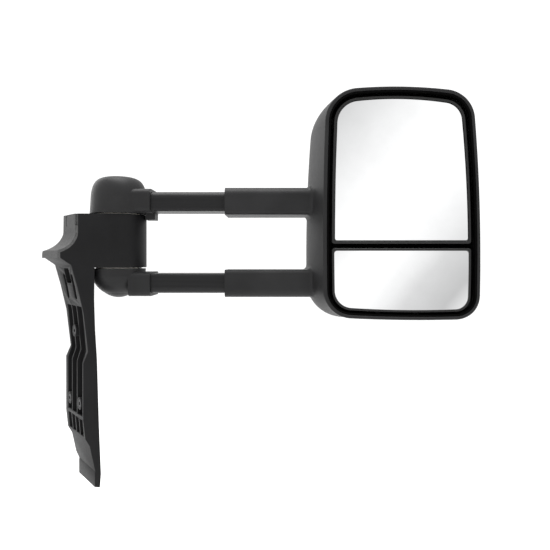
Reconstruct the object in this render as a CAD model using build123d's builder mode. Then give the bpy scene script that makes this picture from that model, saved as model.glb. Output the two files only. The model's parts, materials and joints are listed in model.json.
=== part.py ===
from build123d import *
import os

# Extendable towing mirror for the right-hand door of a vehicle, in millimetres.
# The origin is the centre of the flat pad that bears on the door. +X points out from the vehicle,
# +Y points forwards and +Z points up, so the mirror glass faces -Y.

os.makedirs("parts", exist_ok=True)

# ---- driving dimensions -------------------------------------------------------------------------

door_angle = 36.87        # the door skin runs in towards the vehicle's nose by this much, in degrees
hub_off_door = 50.5       # fold axis to the door pad, square to the door
hub_behind_pad = 29.75    # fold axis to the pad's centre, along the door
hub_height = 193.5        # middle of the pivot block above the pad's centre

near_side = -36           # rear face of the door casting, from the fold axis along Y
far_side = 23             # forward face of the casting's leg

arm_height = 54           # the two telescoping arms lie this far above and below the hub's middle
tube_depth, tube_tall, tube_wall = 50, 26, 2.5
tube_start, tube_end = 26, 216
sleeve_depth, sleeve_tall, sleeve_wall = 64, 36, 3
sleeve_mouth = 146
slide_gap = 0.3           # between a sliding part and what guides it

block_top, block_bottom = 37, -33
block_radius = 36.6
post_radius = 12
bush_radius, bush_flange, bush_flange_thick = 15, 19, 1.5
washer_radius = 30
dome_bottom, dome_top = 38.6, 89.2
bowl_top, bowl_bottom = -34.6, -73.5
collar_end = 48
collar_wall = 3.5

rim_y = -60               # face of the head's rim
split_y = 33              # where the head's forward cover meets its housing
back_y = 46               # crown of the forward cover
shell_wall = 3
lip = 4.4                 # width of the rolled rim
rim_outline = (272.4, 469, 194.2, -98.8, 4, (43, 38, 30, 36))     # as the rows of sections, further on
bezel_inset, bezel_back = 6.8, -54
holder_inset, glass_inset = 10.6, 13.9
upper_low, lower_high = -2.8, -8.2      # facing edges of the two glass holders
glass_margin = 3.4        # width of a holder's rim round its glass
glass_drop = 1.2          # the glasses sit this much nearer the rim at the bottom
holder_front, glass_front, glass_back, pad_back, holder_back = -56.3, -55.4, -53.2, -52.5, -50
glass_middle_x = 371
upper_glass_z, lower_glass_z = 90, -50
carrier_front, carrier_back = -30, -27
ball_y = -41
ball_radius, liner_in, liner_out, cup_in = 6.5, 6.8, 8.2, 8.5

insert_length, insert_bore, insert_radius = 10, 2.5, 4.5

# ---- planes, all measured from the fold axis at the middle of the pivot block --------------------

door_out = Vector(1, 0, 0).rotate(Axis.Z, door_angle)       # square to the door, away from it
door_along = Vector(0, 1, 0).rotate(Axis.Z, door_angle)     # level along the door, forwards
hub = door_out * hub_off_door - door_along * hub_behind_pad + Vector(0, 0, hub_height)


def level(z):
    """Horizontal plane; sketches on it are in (X, Y) and grow upwards."""
    return Plane(origin=hub + Vector(0, 0, z), x_dir=(1, 0, 0), z_dir=(0, 0, 1))


def facing(y):
    """Upright plane square to the vehicle's length; sketches are in (X, Z) and grow rearwards."""
    return Plane(origin=hub + Vector(0, y, 0), x_dir=(1, 0, 0), z_dir=(0, -1, 0))


def square(x, z=0):
    """Upright plane square to the arms; sketches are in (Y, Z) and grow outwards."""
    return Plane(origin=hub + Vector(x, 0, z), x_dir=(0, 1, 0), z_dir=(1, 0, 0))


def beside(along):
    """Upright plane square to the door; sketches are in (distance off the axis, Z)."""
    return Plane(origin=hub + door_along * along, x_dir=door_out, z_dir=-door_along)


def on_door(off):
    """Plane parallel to the door, facing it; sketches are in (-distance along the door, Z)."""
    return Plane(origin=hub + door_out * off, x_dir=-door_along, z_dir=-door_out)


def save(sub_part, name):
    """Label one finished piece and write it."""
    sub_part.label = name
    export_step(sub_part, f"parts/{name}.step")


# ---- shared outlines ----------------------------------------------------------------------------

def side_outline():
    """What the casting and its seal look like from the side, in (Y, Z)."""
    with BuildSketch(square(-160)) as outline:
        Polygon(
            (near_side, 40), (near_side, -330), (15, -330), (15, -298), (far_side, -290),
            (far_side, -14), (12, 0), (5, 14), (4, 40), align=None,
        )
    return outline.sketch


def head_shape(left, right, top, bottom, lean, corners):
    """Outline of the head with four bowed sides, drawn flat. The left side leans in by lean at the top;
    corners are radii: top left, top right, low right, low left."""
    top_left, top_right = (left + lean, top - 6), (right - 9, top - 8)
    low_right, low_left = (right - 1, bottom + 1.5), (left + 1, bottom + 4)
    middle_x, middle_z = (left + right) / 2, (top + bottom) / 2 - 20
    with BuildSketch() as outline:
        with BuildLine():
            ThreePointArc(top_left, (middle_x, top), top_right)
            ThreePointArc(top_right, (right, middle_z), low_right)
            ThreePointArc(low_right, (middle_x + 10, bottom), low_left)
            ThreePointArc(low_left, (left, middle_z), top_left)
        make_face()
        for corner, radius in zip((top_left, top_right, low_right, low_left), corners):
            fillet(outline.vertices().sort_by_distance(corner)[0], radius)
    return outline.sketch


def inset_head(row, inset):
    """A head outline (left, right, top, bottom, lean and corner radii) moved in by an inset, drawn flat."""
    left, right, top, bottom, lean, corners = row
    rounded = [radius - inset for radius in corners]
    return head_shape(left + inset, right - inset, top - inset, bottom + inset, lean, rounded)


def rim_shape(inset, drop=0):
    """The rim's outline inset all round, drawn flat; drop lowers its bottom edge again."""
    left, right, top, bottom, lean, corners = rim_outline
    return inset_head((left, right, top, bottom - drop, lean, corners), inset)


def opening_shape(inset, low, high):
    """The inset rim outline between two heights, drawn flat, with small corners where it is cut."""
    with BuildSketch() as outline:
        add(rim_shape(inset, glass_drop))
        with Locations((glass_middle_x, (low + high) / 2)):
            Rectangle(300, high - low, mode=Mode.INTERSECT)
        on_cut = outline.vertices().filter_by(lambda end: min(abs(end.Y - low), abs(end.Y - high)) < 0.1)
        fillet(on_cut, 3.5)
    return outline.sketch


def arm_shape(depth, tall, outer_radius, inner_radius, side):
    """Cross-section of an arm or sleeve, drawn flat; side is 1 for the upper arm and -1 for the lower."""
    with BuildSketch() as outline:
        Rectangle(depth, tall)
        fillet(outline.vertices().filter_by(lambda corner: corner.Y * side > 0), outer_radius)
        fillet(outline.vertices().filter_by(lambda corner: corner.Y * side < -tall / 2 + 0.1), inner_radius)
    return outline.sketch


# ---- door casting, its seal and its fixings ------------------------------------------------------

horn_tip = -77.4          # the horn reaches this far off the fold axis, towards the door
seal_thick = 3
channels = ((-3.5, 16.5), (19.5, 37), (40, 56.5))             # along the door, between the ribs
insert_spots = ((29.75, -118), (9, -212), (50, -212))       # along the door, and height

with BuildPart() as door_base:
    # Horn, curved neck, leg, door pad and lower tab, drawn square to the door.
    with BuildSketch(beside(-70)):
        with BuildLine():
            Polyline((-30, 37), (-56, 37), (-56, 12))
            ThreePointArc((-56, 12), (-61, -2.5), (-74.4, -13))
            Polyline((-74.4, -13), (-74.4, -20.4), (-63, -30), (-56.6, -58))
            Polyline((-56.6, -58), (-50.2, -92), (-45.4, -142), (-50.5, -157), (-50.5, -231), (-48.4, -255))
            Polyline((-48.4, -255), (-43.9, -264), (-38, -297), (-38.6, -298), (-38.6, -317), (-33.2, -317))
            Polyline((-33.2, -317), (-32.2, -300), (-34.2, -238), (-36.3, -152), (-38.2, -114))
            Polyline((-38.2, -114), (-39.2, -76), (-38.8, -33), (-30, -33), (-30, 37))
        make_face()
    extrude(amount=-190)
    extrude(side_outline(), amount=320, mode=Mode.INTERSECT)
    # Channels between the long ribs on the door side, then the short ones below the pad's ledge.
    for low, high in channels:
        with BuildSketch(beside(low)):
            with BuildLine():
                Polyline((-44, -227), (-90, -227), (-90, -84), (-46, -84))
                Polyline((-46, -84), (-41, -140), (-44, -160), (-44, -227))
            make_face()
        extrude(amount=low - high, mode=Mode.SUBTRACT)
    for low in (-3.5, 12, 27.5, 43):
        with BuildSketch(beside(low)):
            with BuildLine():
                Polyline((-90, -231.5), (-44, -231.5), (-42, -252), (-90, -262), close=True)
            make_face()
        extrude(amount=-12.5, mode=Mode.SUBTRACT)
    # Two slots and the shallow recess between them, high on the leg.
    with BuildSketch(on_door(-64)):
        with Locations((-12, -58), (-44, -58)):
            SlotOverall(34, 9, rotation=90)
        with Locations((-28, -44)):
            RectangleRounded(20, 20, 3)
    extrude(amount=-14, mode=Mode.SUBTRACT)
    # Pivot block: a boss round the fold axis that runs back to the door side.
    with BuildSketch(level(block_bottom)):
        Circle(block_radius)
        Polygon((0, near_side), (-43, near_side), (-73, 4), (-45, 30), (0, block_radius), align=None)
    extrude(amount=block_top - block_bottom)
    # Bosses for the threaded inserts, level with the pad.
    for along, height in insert_spots:
        with BuildSketch(on_door(-hub_off_door)):
            with Locations((-along, height)):
                Circle(8)
        extrude(amount=-11)
    with BuildSketch(on_door(-hub_off_door)):
        with Locations(*[(-along, height) for along, height in insert_spots]):
            Circle(insert_radius)
    extrude(amount=-insert_length, mode=Mode.SUBTRACT)
    # Bore for the pivot post's bushes, with a recess for each flange.
    with BuildSketch(level(block_bottom)):
        Circle(bush_radius)
    extrude(amount=block_top - block_bottom, mode=Mode.SUBTRACT)
    for face_height, depth in ((block_top, -bush_flange_thick), (block_bottom, bush_flange_thick)):
        with BuildSketch(level(face_height)):
            Circle(bush_flange)
        extrude(amount=depth, mode=Mode.SUBTRACT)
save(door_base.part, "door_base")

with BuildPart() as door_seal:
    with BuildSketch(beside(-70)):
        with BuildLine():
            Polyline((-56, 37), (-59, 37), (-59, 12))
            ThreePointArc((-59, 12), (-63.6, -0.6), (horn_tip, -10.6))
            Polyline((horn_tip, -10.6), (horn_tip, -20.4), (-74.4, -20.4), (-74.4, -13))
            ThreePointArc((-74.4, -13), (-61, -2.5), (-56, 12))
            Line((-56, 12), (-56, 37))
        make_face()
    extrude(amount=-190)
    extrude(side_outline(), amount=320, mode=Mode.INTERSECT)
    # Two notches in its top edge, where it was pressed over locating ribs.
    with BuildSketch(on_door(-54)):
        with Locations((1, 32), (-37, 32)):
            Rectangle(3, 20)
    extrude(amount=10, mode=Mode.SUBTRACT)
save(door_seal.part, "door_seal")

with BuildPart() as threaded_inserts:
    with BuildSketch(on_door(-hub_off_door)):
        with Locations(*[(-along, height) for along, height in insert_spots]):
            Circle(insert_radius)
            Circle(insert_bore, mode=Mode.SUBTRACT)
    extrude(amount=-insert_length)
save(threaded_inserts.part, "threaded_inserts")

with BuildPart() as trim_clip:
    # Sprung wedge low on the leg's outer face.
    with BuildSketch(beside(-10)):
        Polygon((-34.3, -233), (-31, -253), (-32.8, -256), (-33.6, -256), (-34.15, -238), align=None)
    extrude(amount=-14)
save(trim_clip.part, "trim_clip")


def flanged_bush(face_height, side):
    """Bronze bush in one end of the block; side is 1 at the top and -1 at the bottom."""
    with BuildPart() as bush:
        with BuildSketch(level(face_height)):
            Circle(bush_flange)
        extrude(amount=-side * bush_flange_thick)
        with BuildSketch(level(face_height)):
            Circle(bush_radius)
        extrude(amount=-side * 26)
        with BuildSketch(level(face_height)):
            Circle(post_radius + 0.05)
        extrude(amount=-side * 26, mode=Mode.SUBTRACT)
    return bush.part


save(flanged_bush(block_top, 1), "bush_upper")
save(flanged_bush(block_bottom, -1), "bush_lower")

# ---- knuckles that turn on the pivot post ---------------------------------------------------------

post_low, post_high = -66, 72
bowl_web = -46            # underside of the web that the friction springs press on
bowl_bore = 18.2
bowl_lip = -67.2          # where the bowl's spring pocket opens downwards
pin_height, pin_radius = 68, 2.5
screw_spots = (32, 42)    # the tube screws, along the arm
screw_radius, screw_head = 2.5, 4.5
collar_depth, collar_tall = tube_depth + 2 * collar_wall, tube_tall + 2 * collar_wall


def tube_section(side, grow=0):
    """Section of an inner tube, grown all round by a clearance."""
    return arm_shape(tube_depth + 2 * grow, tube_tall + 2 * grow, 9 + grow, 4 + grow, side)


def cut_socket(side):
    """Pocket and screw holes that hold an arm tube in its knuckle."""
    with BuildPart() as socket:
        with BuildSketch(square(tube_start, side * arm_height)):
            add(tube_section(side))
        extrude(amount=60)
        for along in screw_spots:
            with BuildSketch(facing(tube_depth / 2 - 6)):
                with Locations((along, side * arm_height)):
                    Circle(screw_radius)
            extrude(amount=-30)
    return socket.part


with BuildPart() as upper_knuckle:
    # Dome turned round the fold axis, with a collar for the upper arm.
    with BuildSketch(facing(0)):
        with BuildLine():
            Polyline((0, dome_bottom), (38, dome_bottom), (36.6, 62))
            Spline((36.6, 62), (31.5, 80.5), (0, dome_top), tangents=((-0.06, 1), (-1, 0)))
            Line((0, dome_top), (0, dome_bottom))
        make_face()
    revolve(axis=Axis(hub, (0, 0, 1)))
    with BuildSketch(square(5, arm_height + 0.9)):
        RectangleRounded(collar_depth, collar_tall - 1, 8)
    extrude(amount=collar_end - 5)
    # Stop tab under the collar.
    with BuildSketch(level(dome_bottom - 8)):
        with Locations((44.5, 0)):
            Rectangle(13, 20)
    extrude(amount=8.5)
    add(cut_socket(1), mode=Mode.SUBTRACT)
    with BuildSketch(level(dome_bottom)):
        Circle(post_radius)
    extrude(amount=post_high - dome_bottom, mode=Mode.SUBTRACT)
    with BuildSketch(facing(26)):
        with Locations((0, pin_height)):
            Circle(pin_radius)
    extrude(amount=52, mode=Mode.SUBTRACT)
save(upper_knuckle.part, "upper_knuckle")

with BuildPart() as lower_collar:
    with BuildSketch(square(bowl_bore + 1, -arm_height - 0.9)):
        RectangleRounded(collar_depth, collar_tall - 1, 8)
    extrude(amount=collar_end - bowl_bore - 1)

with BuildPart() as lower_knuckle:
    # Bowl turned round the fold axis, open below for the friction springs, with the lower arm's collar.
    with BuildSketch(facing(0)):
        with BuildLine():
            Polyline((0, bowl_top), (35.6, bowl_top), (35.2, -45))
            ThreePointArc((35.2, -45), (28.4, -58.5), (bowl_bore, bowl_lip))
            Polyline((bowl_bore, bowl_lip), (bowl_bore, bowl_web), (0, bowl_web), (0, bowl_top))
        make_face()
    revolve(axis=Axis(hub, (0, 0, 1)))
    add(lower_collar.part)
    with BuildSketch(level(bowl_web)):
        Circle(bowl_bore)
    extrude(amount=-40, mode=Mode.SUBTRACT)
    add(cut_socket(-1), mode=Mode.SUBTRACT)
    with BuildSketch(level(bowl_top)):
        Circle(post_radius)
    extrude(amount=bowl_web - bowl_top, mode=Mode.SUBTRACT)
save(lower_knuckle.part, "lower_knuckle")

with BuildPart() as pivot_post:
    with BuildSketch(level(post_low)):
        Circle(post_radius)
    extrude(amount=post_high - post_low)
    with BuildSketch(facing(26)):
        with Locations((0, pin_height)):
            Circle(pin_radius)
    extrude(amount=52, mode=Mode.SUBTRACT)
    chamfer(pivot_post.edges().filter_by(GeomType.CIRCLE).group_by(Axis.Z)[0], 1)
save(pivot_post.part, "pivot_post")

with BuildPart() as post_pin:
    # Roll pin that ties the post to the upper knuckle.
    with BuildSketch(facing(20)):
        with Locations((0, pin_height)):
            Circle(pin_radius)
            Circle(1.3, mode=Mode.SUBTRACT)
    extrude(amount=40)
save(post_pin.part, "post_pin")


def ring(low, high, inner, outer):
    """Flat ring round the fold axis."""
    with BuildPart() as washer:
        with BuildSketch(level(low)):
            Circle(outer)
            Circle(inner, mode=Mode.SUBTRACT)
        extrude(amount=high - low)
    return washer.part


save(ring(block_top + 0.05, dome_bottom, post_radius, washer_radius), "thrust_washer_upper")
save(ring(bowl_top, block_bottom - 0.05, post_radius, washer_radius), "thrust_washer_lower")

spring_count, spring_pitch, spring_cone, spring_thick = 4, 2.4, 1.2, 1.15
spring_radius = bowl_bore - 1
nut_thick, nut_radius = 9, 17.5
cap_top = -66.4

with BuildPart() as disc_springs:
    # Coned springs in facing pairs, which load the friction faces.
    for step in range(spring_count):
        low = bowl_web - spring_pitch * (step + 1)
        inner_low = low + spring_cone * (step % 2 == 0)
        outer_low = low + spring_cone * (step % 2 == 1)
        with BuildSketch(facing(0)):
            Polygon(
                (post_radius, inner_low), (spring_radius, outer_low),
                (spring_radius, outer_low + spring_thick), (post_radius, inner_low + spring_thick),
                align=None,
            )
        revolve(axis=Axis(hub, (0, 0, 1)))
save(disc_springs.part, "disc_springs")

with BuildPart() as pivot_nut:
    with BuildSketch(level(bowl_web - spring_count * spring_pitch - nut_thick)):
        RegularPolygon(nut_radius, 6)
        Circle(post_radius, mode=Mode.SUBTRACT)
    extrude(amount=nut_thick)
save(pivot_nut.part, "pivot_nut")

with BuildPart() as knuckle_cap:
    # Domed plug that closes the bowl's spring pocket from below.
    with BuildSketch(facing(0)):
        with BuildLine():
            Polyline((0, bowl_bottom), (0, cap_top), (bowl_bore, cap_top), (bowl_bore, bowl_lip))
            TangentArc((0, bowl_bottom), (bowl_bore, bowl_lip), tangent=(1, 0))
        make_face()
    revolve(axis=Axis(hub, (0, 0, 1)))
save(knuckle_cap.part, "knuckle_cap")

# ---- arm tubes ------------------------------------------------------------------------------------

guide_thick = 6
guide_wall = sleeve_wall + slide_gap                # the guide runs just clear of the sleeve's bore


def arm_tube(side):
    """Aluminium inner tube, drilled for the screws that hold it in its knuckle."""
    with BuildPart() as tube:
        with BuildSketch(square(tube_start, side * arm_height)):
            add(tube_section(side))
            add(tube_section(side, -tube_wall), mode=Mode.SUBTRACT)
        extrude(amount=tube_end - tube_start)
        with BuildSketch(facing(tube_depth / 2 - 6)):
            with Locations(*[(along, side * arm_height) for along in screw_spots]):
                Circle(screw_radius)
        extrude(amount=-30, mode=Mode.SUBTRACT)
    return tube.part


def tube_guide(side):
    """Nylon plug in the end of a tube; its head slides in the sleeve and stops on the liner."""
    with BuildPart() as guide:
        with BuildSketch(square(tube_end, side * arm_height)):
            add(arm_shape(sleeve_depth - 2 * guide_wall, sleeve_tall - 2 * guide_wall, 8, 4, side))
        extrude(amount=guide_thick)
        with BuildSketch(square(tube_end, side * arm_height)):
            add(tube_section(side, -tube_wall))
        extrude(amount=-18)
        with BuildSketch(square(tube_end - 18, side * arm_height)):
            RectangleRounded(tube_depth - 14, tube_tall - 12, 3)
        extrude(amount=40, mode=Mode.SUBTRACT)
    return guide.part


for name, side in (("upper", 1), ("lower", -1)):
    save(arm_tube(side), f"arm_tube_{name}")
    save(tube_guide(side), f"tube_guide_{name}")

with BuildPart() as tube_screws:
    for side in (1, -1):
        for along in screw_spots:
            for start, length, radius in ((tube_depth / 2 - 4, 8.5, screw_radius), (29, 2.6, screw_head)):
                with BuildSketch(facing(start)):
                    with Locations((along, side * arm_height)):
                        Circle(radius)
                extrude(amount=-length)
save(tube_screws.part, "tube_screws")

# ---- head: housing with its sleeves, and the forward cover ----------------------------------------

sections = (                # depth, then left, right, top, bottom, lean and corner radii of the head's form
    (rim_y, rim_outline),
    (-8, (255, 470, 193, -101, 9, (54, 40, 36, 47))),
    (16, (256, 467, 189, -98, 9, (54, 42, 38, 47))),
    (34, (263, 458, 181, -89, 8, (52, 44, 42, 46))),
    (back_y, (284, 437, 160, -68, 6, (46, 42, 42, 42))),
)


def head_form(inset=0):
    """The head's outer form as one solid, or the same form shrunk by a wall."""
    outlines = []
    for depth, row in sections:
        with BuildSketch(facing(min(depth, back_y - inset))) as outline:
            add(inset_head(row, inset))
        outlines.append(outline.sketch)
    with BuildPart() as form:
        loft(outlines)
    return form.part


def sleeve_bore(side, reach):
    """Inside of a sleeve, from its mouth inwards."""
    with BuildPart() as bore:
        with BuildSketch(square(sleeve_mouth, side * arm_height)):
            add(arm_shape(sleeve_depth - 2 * sleeve_wall, sleeve_tall - 2 * sleeve_wall, 8.3, 4.3, side))
        extrude(amount=reach)
    return bore.part


cover_spots = ((292, 160), (434, 150), (301, -77), (432, -70))     # cover screws, in (X, Z)
carrier_spots = ((345, 184), (395, 184), (345, -89), (395, -89))   # carrier screws
grip_spot = 160                     # the grub screws that load the liners, along the sleeves
column_front = -12
screw_shank, screw_cap, screw_cap_thick = 2, 4, 3
housing_form = head_form()
column_limit = head_form(1)           # columns end inside the shell's wall


def columns(spots, start, end, radius, web=0):
    """Round columns along Y, with webs out to the side walls, trimmed inside the head's outer form."""
    with BuildPart() as posts:
        with BuildSketch(facing(start)):
            for x, z in spots:
                with Locations((x, z)):
                    Circle(radius)
                if web:
                    side = 1 if x > glass_middle_x else -1
                    with Locations((x + side * 20, z)):
                        Rectangle(40, web)
        extrude(amount=start - end)
        add(column_limit, mode=Mode.INTERSECT)
    return posts.part


with BuildPart() as head_housing:
    add(housing_form)
    for side in (1, -1):
        with BuildSketch(square(sleeve_mouth, side * arm_height)):
            add(arm_shape(sleeve_depth, sleeve_tall, 11, 6, side))
        extrude(amount=130)
    flank = [
        edge for edge in head_housing.edges()
        if 250 < edge.center().X - hub.X < 264 and abs(abs(edge.center().Z - hub.Z) - arm_height) < 22
        and abs(edge.center().Y - hub.Y) < 33
    ]
    fillet(flank, 6)
    add(head_form(shell_wall), mode=Mode.SUBTRACT)
    # Rolled rim: an inward flange with rounded edges.
    with BuildSketch(facing(rim_y + 4)):
        add(rim_shape(0.6))
        add(rim_shape(lip), mode=Mode.SUBTRACT)
    extrude(amount=4)
    fillet(head_housing.edges().group_by(Axis.Y)[0], 1.6)
    for side in (1, -1):
        add(sleeve_bore(side, 125), mode=Mode.SUBTRACT)
    with BuildSketch(facing(sleeve_depth / 2 + 1)):
        with Locations((grip_spot, arm_height), (grip_spot, -arm_height)):
            Circle(3)
    extrude(amount=sleeve_wall + 2, mode=Mode.SUBTRACT)
    add(columns(cover_spots, column_front, split_y, 7, web=4))
    add(columns(carrier_spots, carrier_back, split_y, 8))
    with BuildSketch(facing(column_front)):
        with Locations(*cover_spots):
            Circle(screw_shank)
    extrude(amount=-60, mode=Mode.SUBTRACT)
    with BuildSketch(facing(carrier_back)):
        with Locations(*carrier_spots):
            Circle(screw_shank)
    extrude(amount=-12, mode=Mode.SUBTRACT)
    split(bisect_by=facing(split_y), keep=Keep.TOP)
save(head_housing.part, "head_housing")

with BuildPart() as head_cover:
    # Forward cover, with a column behind each of the housing's screw columns.
    add(housing_form)
    add(head_form(shell_wall), mode=Mode.SUBTRACT)
    split(bisect_by=facing(split_y), keep=Keep.BOTTOM)
    add(columns(cover_spots, split_y, back_y, 7, web=4))
    with BuildSketch(facing(split_y)):
        with Locations(*cover_spots):
            Circle(screw_shank)
    extrude(amount=-5.5, mode=Mode.SUBTRACT)
save(head_cover.part, "head_cover")

with BuildPart() as bezel:
    # Straight-sided trim that lines the recess round the glasses.
    for back, front, outer in ((bezel_back, -57, 5.4), (-57, -59, lip)):
        with BuildSketch(facing(back)):
            add(rim_shape(outer))
            add(rim_shape(bezel_inset), mode=Mode.SUBTRACT)
        extrude(amount=back - front)
save(bezel.part, "bezel")

with BuildPart() as carrier_plate:
    # Upright plate behind the glasses, with a short crossbar.
    with BuildSketch(facing(carrier_back)):
        with Locations((370, 47.5)):
            Rectangle(70, 281)
        with Locations((370, -5.5)):
            Rectangle(110, 12)
        with Locations(*carrier_spots):
            Circle(screw_shank, mode=Mode.SUBTRACT)
        with Locations((370, 140), (370, 40)):
            RectangleRounded(34, 40, 6, mode=Mode.SUBTRACT)
    extrude(amount=carrier_back - carrier_front)
    for glass_z in (upper_glass_z, lower_glass_z):
        with BuildSketch(facing(carrier_back)):
            with Locations((glass_middle_x, glass_z)):
                Circle(3)
        extrude(amount=10, both=True, mode=Mode.SUBTRACT)
save(carrier_plate.part, "carrier_plate")


def screw_group(spots, under_head, length):
    """Identical pan-head screws along Y, heads to the rear."""
    with BuildPart() as screws:
        for amount, radius in ((-length, screw_shank), (screw_cap_thick, screw_cap)):
            with BuildSketch(facing(under_head)):
                with Locations(*spots):
                    Circle(radius)
            extrude(amount=amount)
    return screws.part


save(screw_group(carrier_spots, carrier_front, 14), "carrier_screws")
save(screw_group(cover_spots, column_front, split_y - column_front + 5), "cover_screws")

with BuildPart() as grip_screws:
    with BuildSketch(facing(sleeve_depth / 2 - 0.5)):
        with Locations((grip_spot, arm_height), (grip_spot, -arm_height)):
            Circle(3)
            RegularPolygon(1.6, 6, mode=Mode.SUBTRACT)
    extrude(amount=sleeve_wall - 0.5)
save(grip_screws.part, "grip_screws")


def sleeve_liner(side):
    """Nylon liner between a sleeve and the tube that slides in it."""
    with BuildPart() as liner:
        with BuildSketch(square(sleeve_mouth + 1, side * arm_height)):
            add(arm_shape(sleeve_depth - 2 * sleeve_wall, sleeve_tall - 2 * sleeve_wall, 8.3, 4.3, side))
            add(tube_section(side, slide_gap), mode=Mode.SUBTRACT)
        extrude(amount=tube_end - sleeve_mouth - 1.1)
    return liner.part


save(sleeve_liner(1), "sleeve_liner_upper")
save(sleeve_liner(-1), "sleeve_liner_lower")

# ---- the two glasses, each on a ball joint ----------------------------------------------------------


def ball_plane(z):
    """Plane through a glass's ball centre; sketches are in (distance off the Y axis, Y)."""
    return Plane(origin=hub + Vector(glass_middle_x, ball_y, z), x_dir=(1, 0, 0), z_dir=(0, 0, 1))


def ball_axis(z):
    """The line through a ball's centre that its stud and socket are turned about."""
    return Axis(hub + Vector(glass_middle_x, ball_y, z), (0, 1, 0))


def on_sphere(radius, offset):
    """Point of a sphere about the ball centre, in the ball plane, at this offset along Y."""
    return (radius ** 2 - offset ** 2) ** 0.5, offset


stem_radius, stud_flange, stud_thread = 3.6, 8, 3
liner_edge, socket_edge = 2.2, 2.6          # how far past the ball's centre the liner and socket reach
carrier_y = carrier_front - ball_y
flange_y, stud_end = carrier_y - 3, carrier_y + 10
socket_front = holder_back - ball_y


def ball_stud(z):
    """Steel ball on a flanged, threaded stem."""
    with BuildPart() as stud:
        with BuildSketch(ball_plane(z)):
            neck = (stem_radius, (ball_radius ** 2 - stem_radius ** 2) ** 0.5)
            with BuildLine():
                ThreePointArc((0, -ball_radius), (ball_radius, 0), neck)
                Polyline(neck, (stem_radius, flange_y), (stud_flange, flange_y), (stud_flange, carrier_y))
                Polyline((stud_flange, carrier_y), (stud_thread, carrier_y), (stud_thread, stud_end))
                Polyline((stud_thread, stud_end), (0, stud_end), (0, -ball_radius))
            make_face()
        revolve(axis=ball_axis(z))
    return stud.part


def swivel_liner(z):
    """Nylon shell between a ball and its socket."""
    inner_edge, outer_edge = on_sphere(liner_in, liner_edge), on_sphere(liner_out, liner_edge)
    with BuildPart() as liner:
        with BuildSketch(ball_plane(z)):
            with BuildLine():
                ThreePointArc((0, -liner_out), (liner_out, 0), outer_edge)
                Line(outer_edge, inner_edge)
                ThreePointArc(inner_edge, (liner_in, 0), (0, -liner_in))
                Line((0, -liner_in), (0, -liner_out))
            make_face()
        revolve(axis=ball_axis(z))
    return liner.part


def socket(z):
    """Cup on a holder's back that snaps over the liner."""
    mouth = on_sphere(cup_in, socket_edge)
    with BuildPart() as cup:
        with BuildSketch(ball_plane(z)):
            with BuildLine():
                Polyline((0, -cup_in), (0, socket_front), (14, socket_front), (14, socket_front + 4))
                Polyline((14, socket_front + 4), (11.4, socket_edge), mouth)
                ThreePointArc(mouth, (cup_in, 0), (0, -cup_in))
            make_face()
        revolve(axis=ball_axis(z))
    return cup.part


def holder(low, high):
    """Moulded tray that carries a glass."""
    with BuildPart() as tray:
        with BuildSketch(facing(holder_back)):
            add(opening_shape(holder_inset, low, high))
        extrude(amount=holder_back - holder_front)
        fillet(tray.edges().group_by(Axis.Y)[0], 1.2)
        with BuildSketch(facing(pad_back)):
            add(opening_shape(glass_inset, low + glass_margin, high - glass_margin))
        extrude(amount=10, mode=Mode.SUBTRACT)
    return tray.part


def glass_layer(low, high, back, front):
    """Glass or backing pad that fills a holder between two depths."""
    with BuildPart() as layer:
        with BuildSketch(facing(back)):
            add(opening_shape(glass_inset, low + glass_margin, high - glass_margin))
        extrude(amount=back - front)
    return layer.part


glass_rows = (("upper", upper_low, 250, upper_glass_z), ("lower", -160, lower_high, lower_glass_z))
for name, low, high, middle in glass_rows:
    save(holder(low, high), f"glass_holder_{name}")
    save(glass_layer(low, high, pad_back, glass_back), f"glass_pad_{name}")
    save(glass_layer(low, high, glass_back, glass_front), f"mirror_glass_{name}")
    save(socket(middle), f"ball_socket_{name}")
    save(swivel_liner(middle), f"swivel_liner_{name}")
    save(ball_stud(middle), f"ball_stud_{name}")

with BuildPart() as stud_nuts:
    with BuildSketch(facing(carrier_back + 5)):
        with Locations((glass_middle_x, upper_glass_z), (glass_middle_x, lower_glass_z)):
            RegularPolygon(5.8, 6)
            Circle(stud_thread, mode=Mode.SUBTRACT)
    extrude(amount=5)
save(stud_nuts.part, "stud_nuts")
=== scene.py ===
import json
import math

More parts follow.
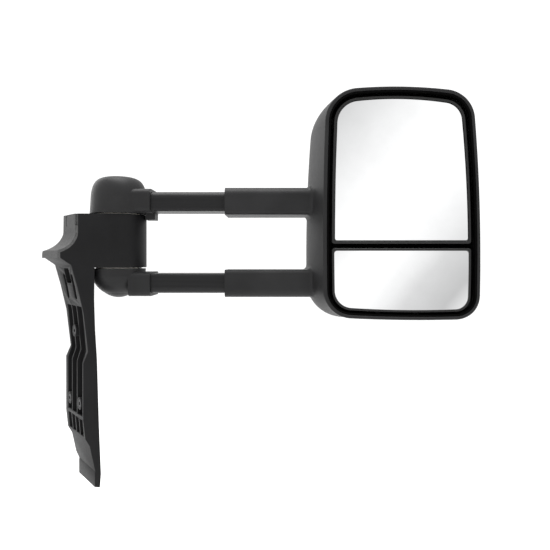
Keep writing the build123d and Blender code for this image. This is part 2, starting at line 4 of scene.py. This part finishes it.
import bmesh
import bpy
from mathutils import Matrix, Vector


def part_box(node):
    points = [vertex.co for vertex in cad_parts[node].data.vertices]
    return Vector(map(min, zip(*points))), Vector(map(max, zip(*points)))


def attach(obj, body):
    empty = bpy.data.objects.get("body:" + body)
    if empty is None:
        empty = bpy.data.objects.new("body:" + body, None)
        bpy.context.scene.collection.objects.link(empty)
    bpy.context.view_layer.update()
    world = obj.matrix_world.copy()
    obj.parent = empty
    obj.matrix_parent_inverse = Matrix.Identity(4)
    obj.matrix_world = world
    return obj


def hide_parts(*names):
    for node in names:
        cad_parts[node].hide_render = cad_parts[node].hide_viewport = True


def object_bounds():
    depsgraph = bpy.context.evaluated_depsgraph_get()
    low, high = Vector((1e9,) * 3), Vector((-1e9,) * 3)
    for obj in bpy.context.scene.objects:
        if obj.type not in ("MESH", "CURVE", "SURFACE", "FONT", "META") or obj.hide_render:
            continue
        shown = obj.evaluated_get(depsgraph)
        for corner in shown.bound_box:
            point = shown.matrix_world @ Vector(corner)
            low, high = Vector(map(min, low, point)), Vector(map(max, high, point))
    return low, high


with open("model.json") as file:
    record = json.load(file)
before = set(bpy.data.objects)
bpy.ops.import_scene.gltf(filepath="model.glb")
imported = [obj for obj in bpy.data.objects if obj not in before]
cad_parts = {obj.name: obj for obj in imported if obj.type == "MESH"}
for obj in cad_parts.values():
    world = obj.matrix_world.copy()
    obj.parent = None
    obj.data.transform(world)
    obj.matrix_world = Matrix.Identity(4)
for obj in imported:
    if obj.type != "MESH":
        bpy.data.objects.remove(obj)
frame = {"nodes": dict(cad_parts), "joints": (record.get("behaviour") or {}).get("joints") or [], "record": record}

cad_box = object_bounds()

MM = 0.001

# ---- places and names worked out from the frame ---------------------------------------------------

joints = {joint["name"]: joint for joint in frame["joints"]}
hub = Vector(joints["arm_fold"]["pos_m"])          # on the fold axis, between the two arms
rim_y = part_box("head_housing")[0][1]               # depth of the head's rim, its rearmost face
record = frame["record"]
slots = {row["node"]: row["material_slot"] for row in record["subparts"]}
body_of_node = {node: body for body, nodes in record["behaviour"]["bodies"].items() for node in nodes}


# ---- material helpers ----------------------------------------------------------------------------

class Shader:
    """A Principled material under construction: nodes are added and linked by short calls."""

    def __init__(self, name, color, roughness, metallic=0.0):
        self.material = bpy.data.materials.new(name)
        self.material.use_nodes = True
        self.tree = self.material.node_tree
        self.bsdf = self.tree.nodes["Principled BSDF"]
        self.bsdf.inputs["Base Color"].default_value = (*color, 1.0)
        self.bsdf.inputs["Roughness"].default_value = roughness
        self.bsdf.inputs["Metallic"].default_value = metallic
        self.place = self.tree.nodes.new("ShaderNodeTexCoord").outputs["Object"]

    def node(self, kind, **settings):
        made = self.tree.nodes.new(kind)
        for key, value in settings.items():
            setattr(made, key, value)
        return made

    def link(self, output, socket):
        self.tree.links.new(output, socket)

    def stretched(self, scale):
        """Object coordinates scaled per axis."""
        mapping = self.node("ShaderNodeMapping")
        mapping.inputs["Scale"].default_value = scale
        self.link(self.place, mapping.inputs["Vector"])
        return mapping.outputs["Vector"]

    def noise(self, size, detail=3.0, scale=(1, 1, 1)):
        """Noise whose features measure about size metres."""
        texture = self.node("ShaderNodeTexNoise")
        texture.inputs["Scale"].default_value = 1.0 / size
        texture.inputs["Detail"].default_value = detail
        self.link(self.stretched(scale), texture.inputs["Vector"])
        return texture.outputs["Fac"]

    def cells(self, size):
        """Distance to the nearest cell centre, for moulded grain."""
        texture = self.node("ShaderNodeTexVoronoi")
        texture.inputs["Scale"].default_value = 1.0 / size
        self.link(self.place, texture.inputs["Vector"])
        return texture.outputs["Distance"]

    def ramp(self, factor, stops):
        """Colour ramp; stops are (position, colour)."""
        ramp = self.node("ShaderNodeValToRGB")
        elements = ramp.color_ramp.elements
        while len(elements) < len(stops):
            elements.new(0.5)
        for element, (position, color) in zip(elements, stops):
            element.position = position
            element.color = (*color, 1.0)
        self.link(factor, ramp.inputs["Fac"])
        return ramp.outputs["Color"]

    def spread(self, factor, low, high, into=(0.3, 0.7)):
        """Map a factor's usual span onto low..high."""
        remap = self.node("ShaderNodeMapRange")
        remap.inputs["From Min"].default_value = into[0]
        remap.inputs["From Max"].default_value = into[1]
        remap.inputs["To Min"].default_value = low
        remap.inputs["To Max"].default_value = high
        self.link(factor, remap.inputs["Value"])
        return remap.outputs["Result"]

    def color(self, output):
        self.link(output, self.bsdf.inputs["Base Color"])

    def rough(self, output):
        self.link(output, self.bsdf.inputs["Roughness"])

    def bump(self, heights, edge=0.0):
        """Chain bumps over edges rounded by edge metres; heights are (factor, strength, depth in metres)."""
        normal = None
        if edge:
            rounded = self.node("ShaderNodeBevel", samples=4)
            rounded.inputs["Radius"].default_value = edge
            normal = rounded.outputs["Normal"]
        for factor, strength, depth in heights:
            bump = self.node("ShaderNodeBump")
            bump.inputs["Strength"].default_value = strength
            bump.inputs["Distance"].default_value = depth
            self.link(factor, bump.inputs["Height"])
            if normal:
                self.link(normal, bump.inputs["Normal"])
            normal = bump.outputs["Normal"]
        self.link(normal, self.bsdf.inputs["Normal"])


def scaled(color, factor):
    return tuple(channel * factor for channel in color)


def grained_plastic(name, color, roughness, grain=0.7 * MM, depth=0.05 * MM, specular=0.2):
    """Moulded black plastic: spark-eroded grain, faint flow marks and dusty variation in gloss."""
    shader = Shader(name, color, roughness)
    cloud = shader.noise(45 * MM, 4)
    fine = shader.noise(grain * 1.6, 3)
    shader.color(shader.ramp(cloud, ((0.3, scaled(color, 0.82)), (0.7, scaled(color, 1.2)))))
    shader.rough(shader.spread(fine, roughness - 0.06, roughness + 0.07))
    shader.bump(((shader.cells(grain), 0.35, depth), (fine, 0.25, depth)), edge=0.9 * MM)
    shader.bsdf.inputs["Specular IOR Level"].default_value = specular
    return shader.material


def satin_coat(name, color, roughness):
    """Powder coat over an aluminium extrusion: orange peel and faint draw lines along the tube."""
    shader = Shader(name, color, roughness)
    peel = shader.noise(1.1 * MM, 2)
    lines = shader.noise(2.2 * MM, 3, scale=(0.02, 1, 1))
    shader.color(shader.ramp(lines, ((0.3, scaled(color, 0.85)), (0.7, scaled(color, 1.15)))))
    shader.rough(shader.spread(peel, roughness - 0.05, roughness + 0.06))
    shader.bump(((peel, 0.3, 0.03 * MM), (lines, 0.25, 0.02 * MM)), edge=0.5 * MM)
    shader.bsdf.inputs["Specular IOR Level"].default_value = 0.2
    return shader.material


def brushed_steel(name, color, roughness):
    """Plated or oiled steel with fine lines along Z and cloudy brightness."""
    shader = Shader(name, color, roughness, metallic=1.0)
    lines = shader.noise(0.6 * MM, 4, scale=(1, 1, 0.04))
    cloud = shader.noise(9 * MM, 3)
    shader.color(shader.ramp(cloud, ((0.3, scaled(color, 0.8)), (0.7, scaled(color, 1.1)))))
    shader.rough(shader.spread(lines, roughness - 0.08, roughness + 0.1))
    shader.bump(((lines, 0.25, 0.02 * MM),))
    return shader.material


def sintered_bronze(name, color, roughness):
    """Pressed and sintered bronze: small pores, darker in patches."""
    shader = Shader(name, color, roughness, metallic=1.0)
    cloud = shader.noise(5 * MM, 4)
    pores = shader.noise(0.5 * MM, 2)
    shader.color(shader.ramp(cloud, ((0.3, scaled(color, 0.7)), (0.72, color))))
    shader.rough(shader.spread(pores, roughness - 0.06, roughness + 0.12))
    shader.bump(((pores, 0.3, 0.03 * MM),))
    return shader.material


def natural_nylon(name, color, roughness):
    """Uncoloured nylon, slightly translucent."""
    shader = Shader(name, color, roughness)
    cloud = shader.noise(14 * MM, 3)
    shader.color(shader.ramp(cloud, ((0.3, scaled(color, 0.9)), (0.7, color))))
    shader.rough(shader.spread(shader.noise(2 * MM), roughness - 0.05, roughness + 0.08))
    shader.bump(((shader.noise(0.8 * MM), 0.2, 0.03 * MM),))
    shader.bsdf.inputs["Subsurface Weight"].default_value = 0.08
    shader.bsdf.inputs["Subsurface Radius"].default_value = (1.0 * MM, 0.9 * MM, 0.7 * MM)
    return shader.material


def speckled_foam(name, color):
    """Closed-cell foam: light and dark specks and open pores."""
    shader = Shader(name, color, 0.92)
    specks = shader.noise(1.5 * MM, 5)
    pores = shader.cells(1.1 * MM)
    shader.color(shader.ramp(specks, ((0.28, scaled(color, 0.35)), (0.42, scaled(color, 0.8)), (0.55, color),
                                      (0.75, scaled(color, 1.45)))))
    shader.bump(((pores, 0.8, 0.35 * MM), (specks, 0.5, 0.2 * MM)))
    return shader.material


def silvered_glass(name):
    """Mirror glass: a bright metal seen through glass, with faint waviness and dust."""
    color = (0.9, 0.905, 0.91)
    shader = Shader(name, color, 0.02, metallic=1.0)
    dust = shader.noise(20 * MM, 6)
    shader.color(shader.ramp(dust, ((0.3, scaled(color, 0.965)), (0.7, color))))
    shader.rough(shader.spread(dust, 0.012, 0.035))
    shader.bump(((shader.noise(70 * MM, 1), 0.04, 0.02 * MM),))
    shader.bsdf.inputs["Coat Weight"].default_value = 1.0
    shader.bsdf.inputs["Coat Roughness"].default_value = 0.01
    return shader.material


MATERIALS = {
    "moulded_black": grained_plastic("moulded_black", (0.017, 0.017, 0.0175), 0.46, specular=0.18),
    "base_black": grained_plastic("base_black", (0.007, 0.007, 0.0075), 0.48, grain=0.9 * MM,
                                  specular=0.15),
    "satin_black": satin_coat("satin_black", (0.01, 0.01, 0.0105), 0.4),
    # recess_black: almost no colour and almost no gloss, far darker than the other mouldings; partly the recess's
    # own black plastic, partly painted shade standing for the depth of the recess
    "recess_black": grained_plastic("recess_black", (0.0015, 0.0015, 0.0015), 0.7, grain=0.6 * MM,
                                    specular=0.03),
    "holder_black": grained_plastic("holder_black", (0.006, 0.006, 0.006), 0.28, grain=0.5 * MM,
                                    depth=0.01 * MM, specular=0.4),
    "silvered_glass": silvered_glass("silvered_glass"),
    "foam_grey": speckled_foam("foam_grey", (0.08, 0.08, 0.08)),
    "adhesive_foam": speckled_foam("adhesive_foam", (0.08, 0.08, 0.08)),
    "zinc_steel": brushed_steel("zinc_steel", (0.6, 0.61, 0.62), 0.32),
    "spring_steel": brushed_steel("spring_steel", (0.25, 0.26, 0.28), 0.36),
    "bronze": sintered_bronze("bronze", (0.5, 0.33, 0.18), 0.48),
    "natural_nylon": natural_nylon("natural_nylon", (0.68, 0.66, 0.6), 0.45),
    "black_oxide": brushed_steel("black_oxide", (0.03, 0.03, 0.033), 0.4),
}


def dress_nodes():
    """Give each CAD node its slot's material."""
    for name, obj in frame["nodes"].items():
        obj.data.materials.clear()
        obj.data.materials.append(MATERIALS[slots[name]])


# ---- reshaped copies of some CAD nodes ------------------------------------------------------------

GLASS_GRID = 6 * MM            # the convex glass is cut into squares about this big
GLASS_CURVE = 2.2              # radius of its sphere, in metres
GLASS_BEVEL = 1.2 * MM         # ground edge of the flat glass
MOULDED_EDGE = 0.8 * MM        # radius on the edges of the casting and its clip
SHARP_EDGE = math.radians(35)  # edges that turn by more than this are rounded
SHADED_EDGE = math.radians(25) # edges that turn by more than this keep a crease in their shading
WELD = 0.01 * MM
FLAT = math.radians(0.5)       # faces that differ by less than this are joined before reshaping


def detailed(node, shape):
    """Stand a reshaped copy of a node's mesh in its place, on the same body and in the same finish."""
    mesh = frame["nodes"][node].data.copy()
    piece = bpy.data.objects.new(f"{node}_detailed", mesh)
    bpy.context.scene.collection.objects.link(piece)
    work = bmesh.new()
    work.from_mesh(mesh)
    bmesh.ops.remove_doubles(work, verts=work.verts, dist=WELD)
    bmesh.ops.dissolve_limit(work, angle_limit=FLAT, verts=work.verts, edges=work.edges)
    shape(work)
    work.to_mesh(mesh)
    work.free()
    # The copied normals belong to the old shape.
    if "custom_normal" in mesh.attributes:
        mesh.attributes.remove(mesh.attributes["custom_normal"])
    mesh.shade_smooth()
    mesh.set_sharp_from_angle(angle=SHADED_EDGE)
    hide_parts(node)
    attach(piece, body_of_node[node])


def rounded_edges(width, segments=2):
    """A shape that bevels every sharp edge: flat with one segment, rounded with more."""
    def shape(work):
        sharp = [edge for edge in work.edges
                 if len(edge.link_faces) == 2 and edge.calc_face_angle() > SHARP_EDGE]
        bmesh.ops.bevel(work, geom=sharp, offset=width, offset_type="OFFSET", segments=segments, profile=0.5,
                        affect="EDGES", clamp_overlap=True)
    return shape


def domed(node):
    """A shape that curves a glass's front face as part of a sphere, from its corners outwards."""
    low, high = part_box(node)
    middle = (low + high) / 2

    def shape(work):
        for axis in (0, 2):
            cuts = round((high[axis] - low[axis]) / GLASS_GRID)
            for step in range(1, cuts):
                point, normal = middle.copy(), Vector((0, 0, 0))
                point[axis] = low[axis] + (high[axis] - low[axis]) * step / cuts
                normal[axis] = 1
                bmesh.ops.bisect_plane(work, geom=work.verts[:] + work.edges[:] + work.faces[:],
                                       plane_co=point, plane_no=normal)
        front = [vert for vert in work.verts if vert.co.y < middle.y]
        spread = [(vert.co.x - middle.x) ** 2 + (vert.co.z - middle.z) ** 2 for vert in front]
        for vert, off in zip(front, spread):
            vert.co.y -= (max(spread) - off) / (2 * GLASS_CURVE)
    return shape


dress_nodes()
detailed("mirror_glass_lower", domed("mirror_glass_lower"))
detailed("mirror_glass_upper", rounded_edges(GLASS_BEVEL, segments=1))
for moulded in ("door_base", "trim_clip"):
    detailed(moulded, rounded_edges(MOULDED_EDGE))

# ---- camera, light and floor ---------------------------------------------------------------------

VIEW_DISTANCE = 0.700          # camera to the rim's plane
FRAME_WIDTH = 0.6875           # what the picture's width spans at the rim's plane
HORIZON_SHIFT = -15 / 550      # the horizon lies a little above the picture's middle
EYE_FROM_HUB = Vector((0.2117, 0.0, -0.0232))   # the camera's place across and up from the hub
SENSOR_WIDTH = 36.0            # millimetres


def add_camera():
    """Level camera behind the vehicle, looking forwards onto the glasses."""
    camera = bpy.data.cameras.new("camera")
    camera.sensor_width = SENSOR_WIDTH
    camera.lens = camera.sensor_width * VIEW_DISTANCE / FRAME_WIDTH
    camera.shift_y = HORIZON_SHIFT
    holder = bpy.data.objects.new("camera", camera)
    holder.location = (hub.x + EYE_FROM_HUB.x, rim_y - VIEW_DISTANCE, hub.z + EYE_FROM_HUB.z)
    holder.rotation_euler = (math.radians(90), 0, 0)
    bpy.context.scene.collection.objects.link(holder)
    bpy.context.scene.camera = holder


def add_area(name, location, target, size, power):
    """Rectangular area light turned towards its target."""
    light = bpy.data.lights.new(name, "AREA")
    light.shape = "RECTANGLE"
    light.size, light.size_y = size
    light.energy = power
    holder = bpy.data.objects.new(name, light)
    holder.location = location
    holder.rotation_euler = (Vector(target) - Vector(location)).to_track_quat("-Z", "Y").to_euler()
    bpy.context.scene.collection.objects.link(holder)


BAND_SLANT = (1.0, 0.0, -0.8)  # the surroundings behind the camera change along this direction
BAND_MIDDLE = 0.5              # where a direction straight back falls on the ramp below
BAND_STOPS = (                 # place across the band, grey
    (0.15, 0.9), (0.35, 0.5), (0.5, 0.86), (0.57, 1.0), (0.69, 1.0),
    (0.76, 0.84), (0.81, 0.68), (0.92, 0.54), (1.0, 0.9),
)
AHEAD_SLOPE, AHEAD_LEVEL = 2.5, 1.5     # how fast the band gives way to white towards the sides
SKY_STRENGTH = 1.18


def add_world():
    """White surroundings, with a slanting bright band between greyer sides behind the camera."""
    world = bpy.data.worlds.new("studio")
    world.use_nodes = True
    tree = world.node_tree

    def linked(kind, operation, source, value):
        """A maths node on a source and a fixed value."""
        made = tree.nodes.new(kind)
        made.operation = operation
        made.inputs[1].default_value = value
        tree.links.new(source, made.inputs[0])
        return made.outputs["Value"]

    direction = tree.nodes.new("ShaderNodeTexCoord").outputs["Generated"]
    across = linked("ShaderNodeVectorMath", "DOT_PRODUCT", direction, BAND_SLANT)
    bands = tree.nodes.new("ShaderNodeValToRGB")
    elements = bands.color_ramp.elements
    while len(elements) < len(BAND_STOPS):
        elements.new(0.5)
    for element, (position, grey) in zip(elements, BAND_STOPS):
        element.position = position
        element.color = (grey, grey, grey, 1)
    tree.links.new(linked("ShaderNodeMath", "ADD", across, BAND_MIDDLE), bands.inputs["Fac"])
    ahead = linked("ShaderNodeVectorMath", "DOT_PRODUCT", direction, (0.0, AHEAD_SLOPE, 0.0))
    ahead = linked("ShaderNodeMath", "ADD", ahead, AHEAD_LEVEL)
    lit = linked("ShaderNodeMath", "MINIMUM", ahead, 1.0)
    brighter = tree.nodes.new("ShaderNodeMath")
    brighter.operation = "MAXIMUM"
    tree.links.new(bands.outputs["Color"], brighter.inputs[0])
    tree.links.new(lit, brighter.inputs[1])
    background = tree.nodes["Background"]
    tree.links.new(brighter.outputs["Value"], background.inputs["Color"])
    background.inputs["Strength"].default_value = SKY_STRENGTH
    bpy.context.scene.world = world


LIGHTS_AIM = Vector((0.2, 0, 0))        # from the hub, out along the arms
LIGHTS = (                     # name, place from the aim, size and power in watts
    ("left_light", (-1.5, 1.0, 0.75), (1.3, 1.3), 9),
    ("top_light", (-0.1, -0.1, 1.5), (1.6, 0.8), 26),
)


def add_light():
    """Two big soft lights: one high on the left beyond the mirror, one overhead."""
    add_world()
    aim = hub + LIGHTS_AIM
    for name, place, size, power in LIGHTS:
        add_area(name, aim + Vector(place), aim, size, power)


FLOOR_DROP = 0.3               # the mirror hangs on its door, this far above the floor
FLOOR_SIZE = 80                # so big that its far edge lies on the horizon
FLOOR_BEHIND = 3               # it ends this far behind the mirror, so the glasses don't reflect its edge


def add_floor():
    """White paper floor."""
    place = (0, FLOOR_SIZE / 2 - FLOOR_BEHIND, cad_box[0][2] - FLOOR_DROP)
    bpy.ops.mesh.primitive_plane_add(size=FLOOR_SIZE, location=place)
    floor = bpy.context.object
    floor.name = "floor"
    shader = Shader("floor_paper", (0.96, 0.96, 0.96), 0.8)
    shader.color(shader.ramp(shader.noise(0.4, 2), ((0.3, (0.97, 0.97, 0.97)), (0.7, (1, 1, 1)))))
    floor.data.materials.append(shader.material)


add_camera()
add_light()
add_floor()
bpy.context.scene.view_settings.view_transform = "Standard"
